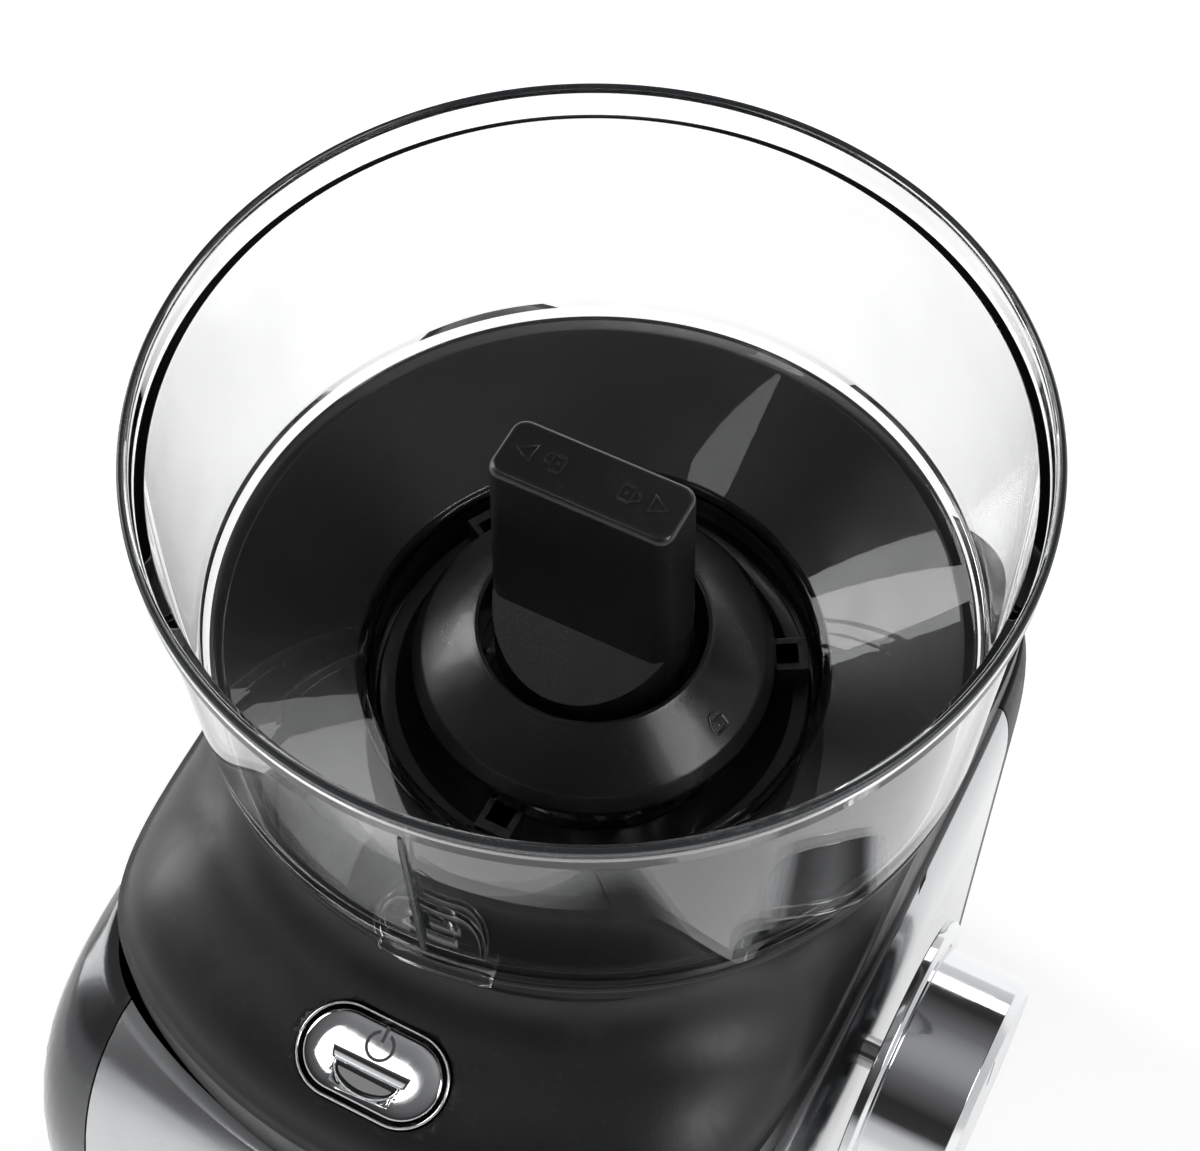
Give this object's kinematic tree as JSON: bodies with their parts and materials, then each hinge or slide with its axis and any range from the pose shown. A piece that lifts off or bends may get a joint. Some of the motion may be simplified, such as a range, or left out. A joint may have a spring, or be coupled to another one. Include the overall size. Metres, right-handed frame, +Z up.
{
  "type": "burr coffee grinder",
  "caption": "Electric burr coffee grinder with a clear bean hopper, locking upper burr carrier, side timer dial, front button and a pull-out grounds bin.",
  "frame": {"origin": "centre of the bounding box's footprint, on the plane the feet stand on", "axes": "+Z up along the burr axis, front with the grounds bin towards -Y, timer dial towards +X"},
  "size_m": [0.1684, 0.202, 0.262],
  "materials": {
    "black_plastic": "fine satin grain",
    "knob_plastic": "semi-gloss",
    "clear_plastic": "polished",
    "smoke_plastic": "polished",
    "silver_panel": "fine satin",
    "chrome": "polished",
    "steel": "turned",
    "nylon": "moulded",
    "rubber": "matt",
    "brass": "sintered",
    "copper": "wound and turned",
    "board": "lacquered",
    "lens": "polished",
    "grey_plastic": "moulded"
  },
  "bodies": {
    "frame": {"base_plate": "black_plastic", "rubber_foot_1": "rubber", "rubber_foot_2": "rubber", "rubber_foot_3": "rubber", "rubber_foot_4": "rubber", "main_housing": "black_plastic", "side_panel_left": "silver_panel", "side_panel_right": "silver_panel", "front_panel": "silver_panel", "grounds_bay": "black_plastic", "burr_chamber": "black_plastic", "grounds_chute": "grey_plastic", "gear_plate": "steel", "gear_cover": "black_plastic", "bearing_lower": "brass", "bearing_upper": "brass", "idler_pin": "steel", "motor_can": "steel", "motor_cap": "grey_plastic", "motor_magnet_1": "grey_plastic", "motor_magnet_2": "grey_plastic", "hood": "black_plastic", "button_bezel": "chrome", "control_board": "board", "button_switch": "grey_plastic", "dial_ring": "chrome", "timer_switch": "grey_plastic", "cord_inlet": "rubber"},
    "adjuster": {"adjusting_ring": "black_plastic"},
    "hopper_body": {"hopper": "clear_plastic", "neck_seal": "rubber"},
    "carrier": {"burr_carrier": "black_plastic", "dome_cover": "black_plastic", "ring_burr": "steel"},
    "knob": {"lock_knob": "knob_plastic", "lock_cam": "steel"},
    "spindle_body": {"spindle": "steel", "cone_burr": "steel", "burr_nut": "steel", "sweeper": "nylon", "main_wheel": "nylon"},
    "idler_body": {"idler_gear": "nylon"},
    "motor_body": {"motor_shaft": "steel", "motor_rotor": "copper", "commutator": "copper", "motor_pinion": "brass"},
    "button": {"power_button": "chrome", "button_lens": "lens", "button_spring": "steel"},
    "dial": {"dial_knob": "chrome", "dial_shaft": "steel"},
    "bin": {"grounds_bin": "smoke_plastic", "bin_cap": "black_plastic", "bin_grip": "chrome"}
  },
  "joints": [
    {"name": "grind_turn", "type": "hinge", "parent": "frame", "child": "adjuster", "pos_m": [-0.0092, 0.01905, 0.185], "axis": [0, 0, 1], "range_deg": [-30, 60]},
    {"name": "hopper_lift", "type": "slide", "parent": "adjuster", "child": "hopper_body", "axis": [0, 0, 1], "range_m": [0, 0.09]},
    {"name": "carrier_lift", "type": "slide", "parent": "adjuster", "child": "carrier", "axis": [0, 0, 1], "range_m": [0, 0.07]},
    {"name": "knob_turn", "type": "hinge", "parent": "carrier", "child": "knob", "pos_m": [-0.0092, 0.01905, 0.2], "axis": [0, 0, 1], "range_deg": [0, 60]},
    {"name": "motor_spin", "type": "hinge", "parent": "frame", "child": "motor_body", "pos_m": [-0.0092, 0.06105, 0.09], "axis": [0, 0, 1], "continuous": true},
    {"name": "idler_spin", "type": "hinge", "parent": "frame", "child": "idler_body", "pos_m": [0.01175, 0.0474, 0.131], "axis": [0, 0, 1], "continuous": true},
    {"name": "spindle_spin", "type": "hinge", "parent": "frame", "child": "spindle_body", "pos_m": [-0.0092, 0.01905, 0.15], "axis": [0, 0, 1], "continuous": true},
    {"name": "button_press", "type": "slide", "parent": "frame", "child": "button", "axis": [0, 0.342, -0.9397], "range_m": [0, 0.0015], "stiffness_N_per_m": 800, "springref_m": -0.002},
    {"name": "dial_turn", "type": "hinge", "parent": "frame", "child": "dial", "pos_m": [0.0668, -0.00695, 0.142], "axis": [1, 0, 0], "range_deg": [-150, 150]},
    {"name": "bin_pull", "type": "slide", "parent": "frame", "child": "bin", "axis": [0, -1, 0], "range_m": [0, 0.105]}
  ],
  "couplings": [
    {"joint": "idler_spin", "follows": "motor_spin", "ratio": -0.31579},
    {"joint": "spindle_spin", "follows": "motor_spin", "ratio": 0.096491}
  ]
}
